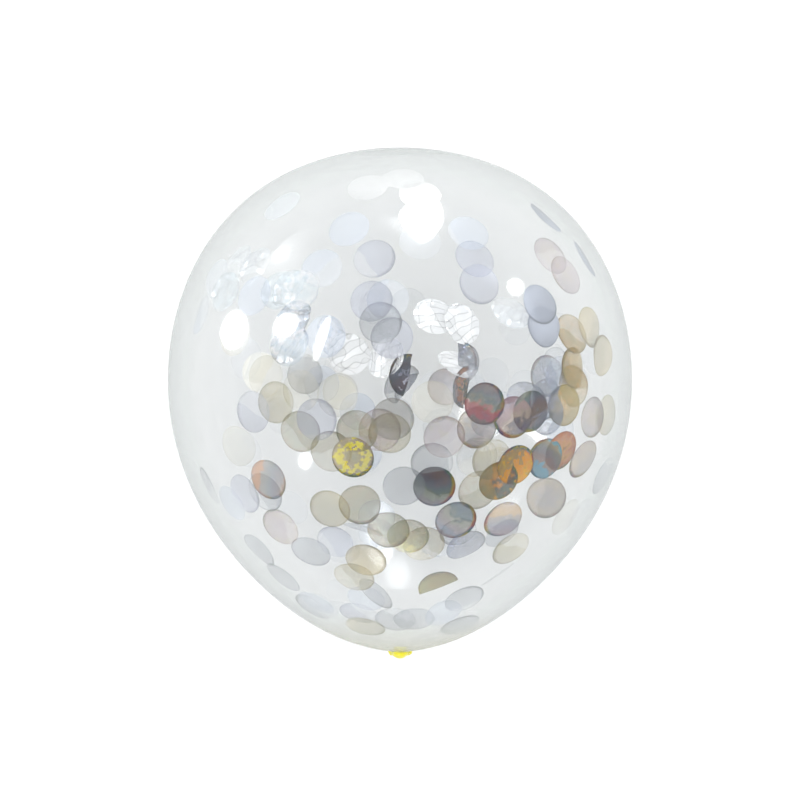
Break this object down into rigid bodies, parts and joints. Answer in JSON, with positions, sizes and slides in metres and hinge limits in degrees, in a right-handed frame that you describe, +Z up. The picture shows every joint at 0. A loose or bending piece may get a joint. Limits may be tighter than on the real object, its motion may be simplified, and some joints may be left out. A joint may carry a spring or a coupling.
{
  "type": "confetti balloon",
  "caption": "Clear round party balloon, blown up and tied at the neck, with silvery round film confetti clinging inside it; it lies on a small flat spot",
  "frame": {"origin": "on the floor, in the flat spot that the balloon rests on, straight under its widest ring", "axes": "+Y along the level axis of the balloon from the tied neck to the crown, +X across it, +Z up"},
  "size_m": [0.29, 0.3197, 0.2884],
  "materials": {
    "clear_latex": "thin clear glossy latex, a little milky",
    "neck_latex": "gathered thick latex, pale lemon yellow, satin",
    "confetti_film": "thin silvery iridescent film discs, glossy"
  },
  "bodies": {
    "root": {"latex_balloon": "clear_latex"}
  },
  "joints": []
}
